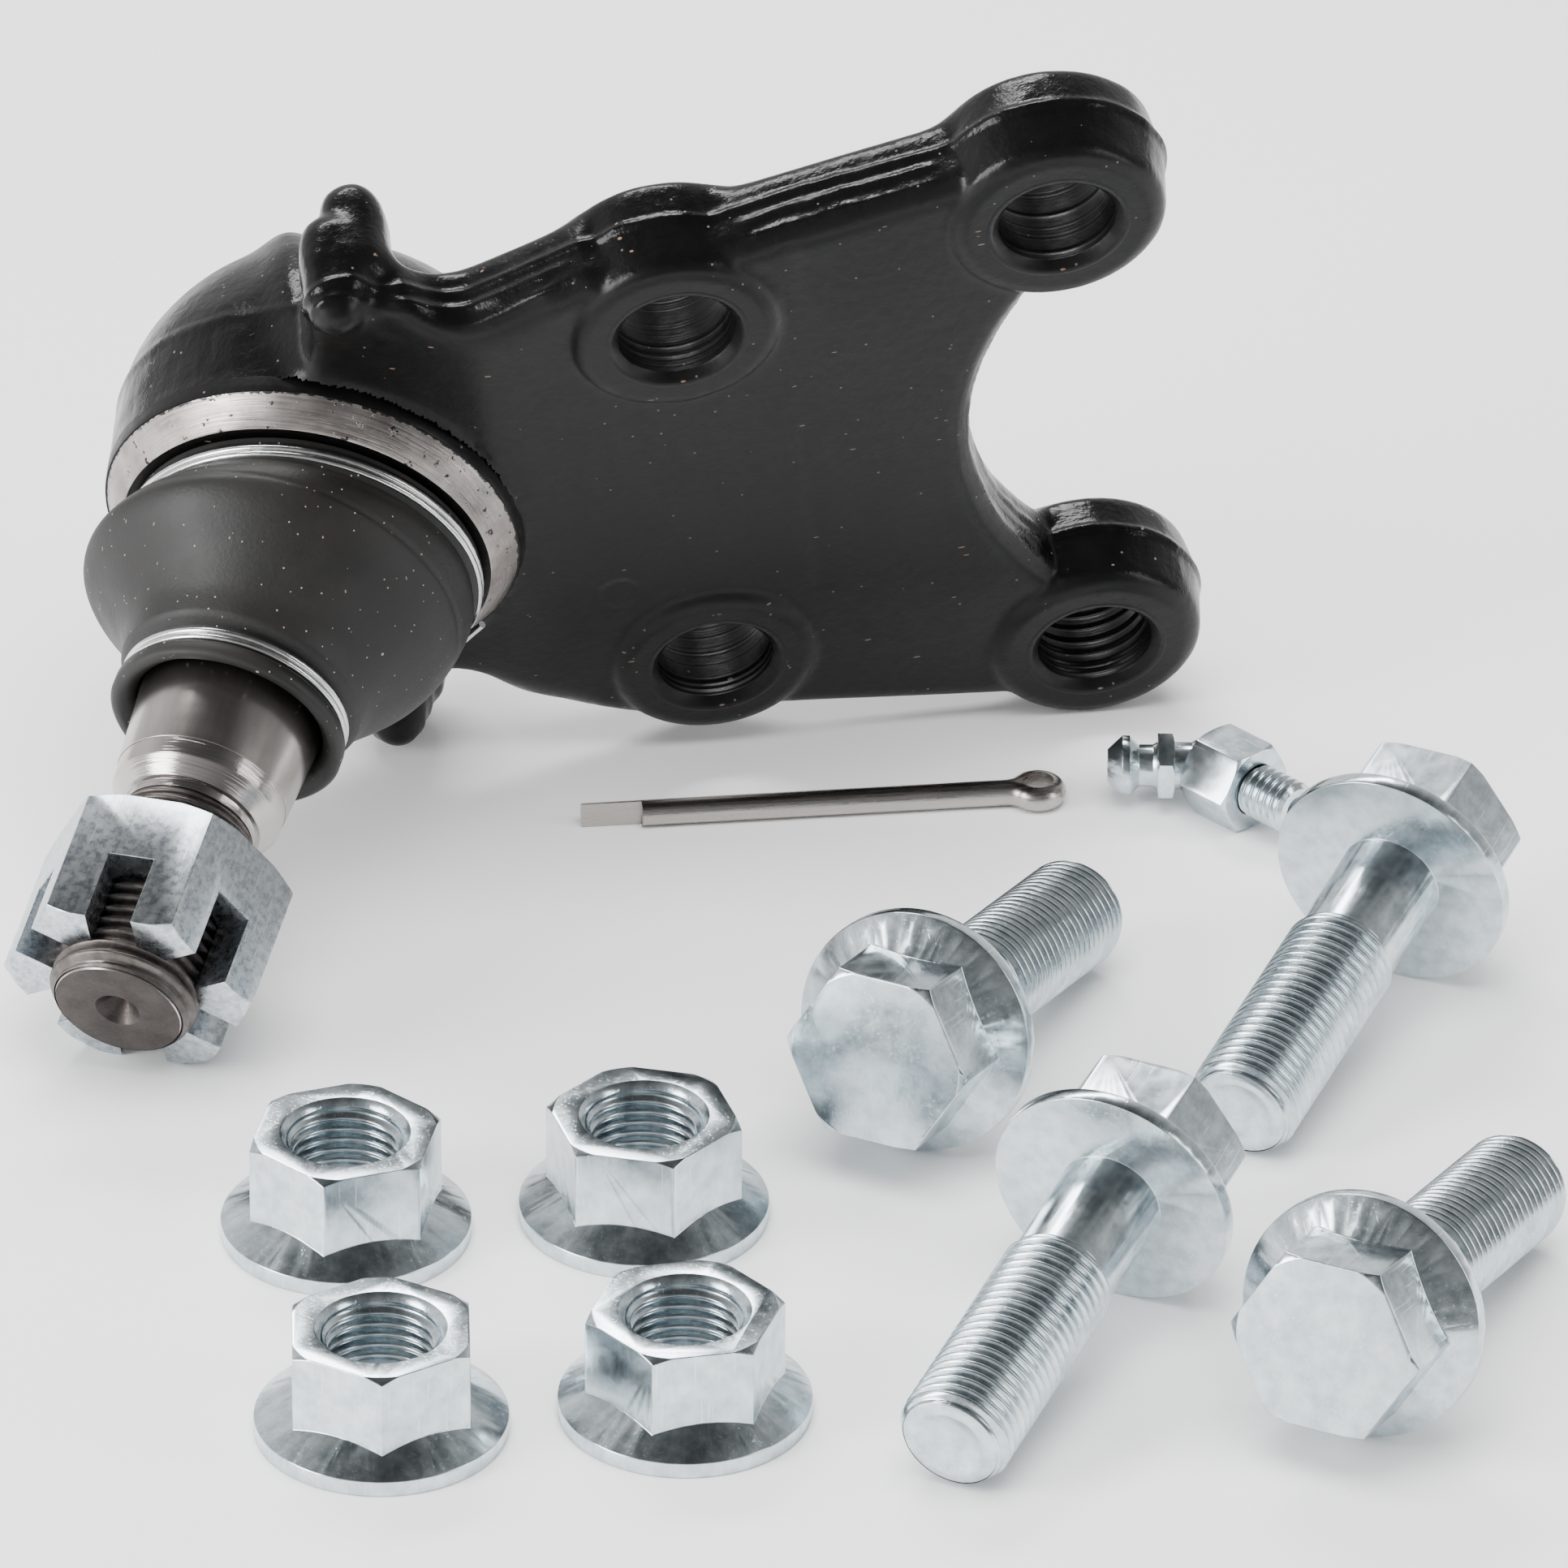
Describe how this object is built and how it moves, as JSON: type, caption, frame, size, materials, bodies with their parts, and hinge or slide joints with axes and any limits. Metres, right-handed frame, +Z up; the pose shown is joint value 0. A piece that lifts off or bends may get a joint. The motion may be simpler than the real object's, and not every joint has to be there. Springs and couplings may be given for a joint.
{
  "type": "suspension ball joint",
  "caption": "Forged suspension ball joint with a bolt-on plate, tapered swivelling stud, rubber boot and castle nut, laid down with its loose bolts, nuts, cotter pin and grease fitting.",
  "frame": {"origin": "middle of the whole part's box at the table it lies on", "axes": "+Z up from the table, X along the forging's plate from the stud end to the ears, -Y towards the free end of the stud"},
  "size_m": [0.1614, 0.1793, 0.0924],
  "materials": {
    "black_enamel": "satin black enamel on forged steel",
    "seat_plastic": "moulded acetal",
    "spring_steel": "oiled",
    "boot_rubber": "matte",
    "clamp_wire": "bright spring wire",
    "ground_steel": "ground taper, phosphated end",
    "zinc_nut": "bright zinc plated",
    "pin_wire": "drawn steel wire",
    "zinc_kit": "bright zinc plated"
  },
  "bodies": {
    "housing": {"forged_housing": "black_enamel", "lower_bearing_seat": "seat_plastic", "upper_bearing_seat": "seat_plastic", "preload_spring": "spring_steel", "closing_ring": "spring_steel", "large_boot_wire": "clamp_wire", "flange_bolt_1": "zinc_kit", "flange_bolt_2": "zinc_kit", "flange_bolt_3": "zinc_kit", "flange_bolt_4": "zinc_kit", "flange_nut_1": "zinc_kit", "flange_nut_2": "zinc_kit", "flange_nut_3": "zinc_kit", "flange_nut_4": "zinc_kit", "cotter_pin": "pin_wire", "grease_fitting_body": "zinc_kit", "grease_fitting_spring": "spring_steel"},
    "boot_middle": {"dust_boot": "boot_rubber"},
    "boot_neck": {"small_boot_wire": "clamp_wire"},
    "stud": {"ball_stud": "ground_steel", "castle_nut": "zinc_nut"},
    "check_ball": {"grease_fitting_ball": "spring_steel"}
  },
  "joints": [
    {"name": "stud_swing_along_plate", "type": "hinge", "parent": "housing", "child": "boot_middle", "pos_m": [-0.04137, 0.06529, 0.03853], "axis": [-0.1185, -0.3631, 0.9242], "range_deg": [-11.7, 24.3], "deforming": ["dust_boot"]},
    {"name": "stud_swing_across_plate", "type": "hinge", "parent": "boot_middle", "child": "boot_neck", "pos_m": [-0.04137, 0.06529, 0.03853], "axis": [0.9191, -0.3923, -0.0363], "range_deg": [-18, 18], "deforming": ["dust_boot"]},
    {"name": "stud_spin", "type": "hinge", "parent": "boot_neck", "child": "stud", "pos_m": [-0.04137, 0.06529, 0.03853], "axis": [-0.3757, -0.8451, -0.3802], "continuous": true},
    {"name": "check_ball_lift", "type": "slide", "parent": "housing", "child": "check_ball", "axis": [0.9925, -0.1219, 0], "range_m": [0, 0.0008], "stiffness_N_per_m": 500}
  ]
}
